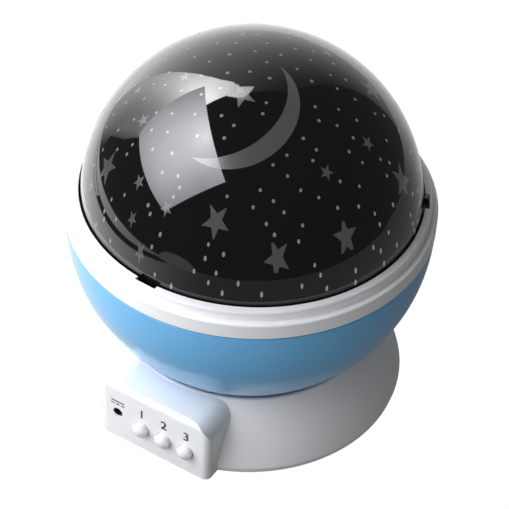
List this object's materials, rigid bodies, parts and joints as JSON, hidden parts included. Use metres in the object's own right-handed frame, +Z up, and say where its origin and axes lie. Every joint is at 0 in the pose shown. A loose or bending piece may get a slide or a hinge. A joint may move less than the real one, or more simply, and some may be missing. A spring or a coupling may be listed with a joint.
{
  "type": "star night light projector",
  "caption": "Rotating night light: a black dome with star windows in a white locking ring on a blue bowl that turns on a white pedestal with push buttons.",
  "frame": {"origin": "on the axis of the turning head, on the surface that the rubber feet stand on", "axes": "+Z up along the axis the head turns about; the buttons and the power socket face -Y; +X to the right as seen facing the buttons"},
  "size_m": [0.125, 0.125, 0.1341],
  "materials": {
    "white_abs": "glossy white ABS",
    "blue_abs": "glossy sky-blue ABS",
    "dome_black": "clear polycarbonate over the black mask",
    "mask_black": "matte black",
    "black_rubber": "black silicone",
    "grey_rubber": "dark grey rubber",
    "white_button": "glossy white",
    "black_plastic": "moulded black",
    "white_pom": "natural POM",
    "board_green": "green solder mask",
    "board_white": "white solder mask",
    "capacitor_blue": "printed sleeve",
    "wire_red": "red PVC",
    "screw_steel": "zinc-plated",
    "motor_steel": "plain drawn steel",
    "contact_nickel": "nickel-plated",
    "led_white": "clear epoxy over phosphor",
    "led_red": "tinted epoxy",
    "led_green": "tinted epoxy",
    "led_blue": "tinted epoxy"
  },
  "bodies": {
    "base": {"base_shell": "white_abs", "bottom_cover": "white_abs", "rubber_feet": "grey_rubber", "case_screws": "screw_steel", "contact_springs": "contact_nickel", "contact_plates": "contact_nickel", "control_board": "board_green", "tact_switches": "black_plastic", "control_chip": "black_plastic", "capacitor": "capacitor_blue", "dc_jack": "black_plastic", "dc_jack_pin": "contact_nickel", "gearbox": "white_pom", "motor_can": "motor_steel", "motor_screws": "screw_steel", "thrust_washer": "white_pom", "post": "white_abs", "post_screws": "screw_steel", "led_wires": "wire_red", "led_holder": "white_abs", "led_board": "board_white", "led_white": "led_white", "led_red": "led_red", "led_green": "led_green", "led_blue": "led_blue"},
    "head": {"bowl": "blue_abs", "rim_ring": "white_abs", "ring_gear": "white_pom", "gear_screws": "screw_steel", "lamp_plate": "white_abs", "plate_screws": "screw_steel"},
    "dome_seat": {"dome_gasket": "black_rubber"},
    "dome": {"dome_shell": "dome_black", "star_mask": "mask_black"},
    "pinion": {"drive_pinion": "white_pom", "motor_shaft": "motor_steel"},
    "button_a": {"button_1": "white_button", "switch_stem_1": "black_plastic"},
    "button_b": {"button_2": "white_button", "switch_stem_2": "black_plastic"},
    "button_c": {"button_3": "white_button", "switch_stem_3": "black_plastic"},
    "door": {"battery_door": "white_abs", "door_screw": "screw_steel"}
  },
  "joints": [
    {"name": "head_turn", "type": "hinge", "parent": "base", "child": "head", "pos_m": [0, 0, 0.0242], "axis": [0, 0, 1], "continuous": true},
    {"name": "pinion_turn", "type": "hinge", "parent": "base", "child": "pinion", "pos_m": [0.035, 0, 0.0178], "axis": [0, 0, 1], "continuous": true},
    {"name": "dome_turn", "type": "hinge", "parent": "head", "child": "dome_seat", "pos_m": [0, 0, 0.0733], "axis": [0, 0, -1], "range_deg": [0, 18]},
    {"name": "dome_lift", "type": "slide", "parent": "dome_seat", "child": "dome", "axis": [0, 0, 1], "range_m": [0, 0.07]},
    {"name": "button_1_press", "type": "slide", "parent": "base", "child": "button_a", "axis": [0, 1, 0], "range_m": [0, 0.0006], "stiffness_N_per_m": 3000},
    {"name": "button_2_press", "type": "slide", "parent": "base", "child": "button_b", "axis": [0, 1, 0], "range_m": [0, 0.0006], "stiffness_N_per_m": 3000},
    {"name": "button_3_press", "type": "slide", "parent": "base", "child": "button_c", "axis": [0, 1, 0], "range_m": [0, 0.0006], "stiffness_N_per_m": 3000},
    {"name": "battery_door", "type": "hinge", "parent": "base", "child": "door", "pos_m": [0, 0.0224, 0.0015], "axis": [1, 0, 0], "range_deg": [0, 85]}
  ],
  "couplings": [
    {"joint": "pinion_turn", "follows": "head_turn", "ratio": -4}
  ]
}
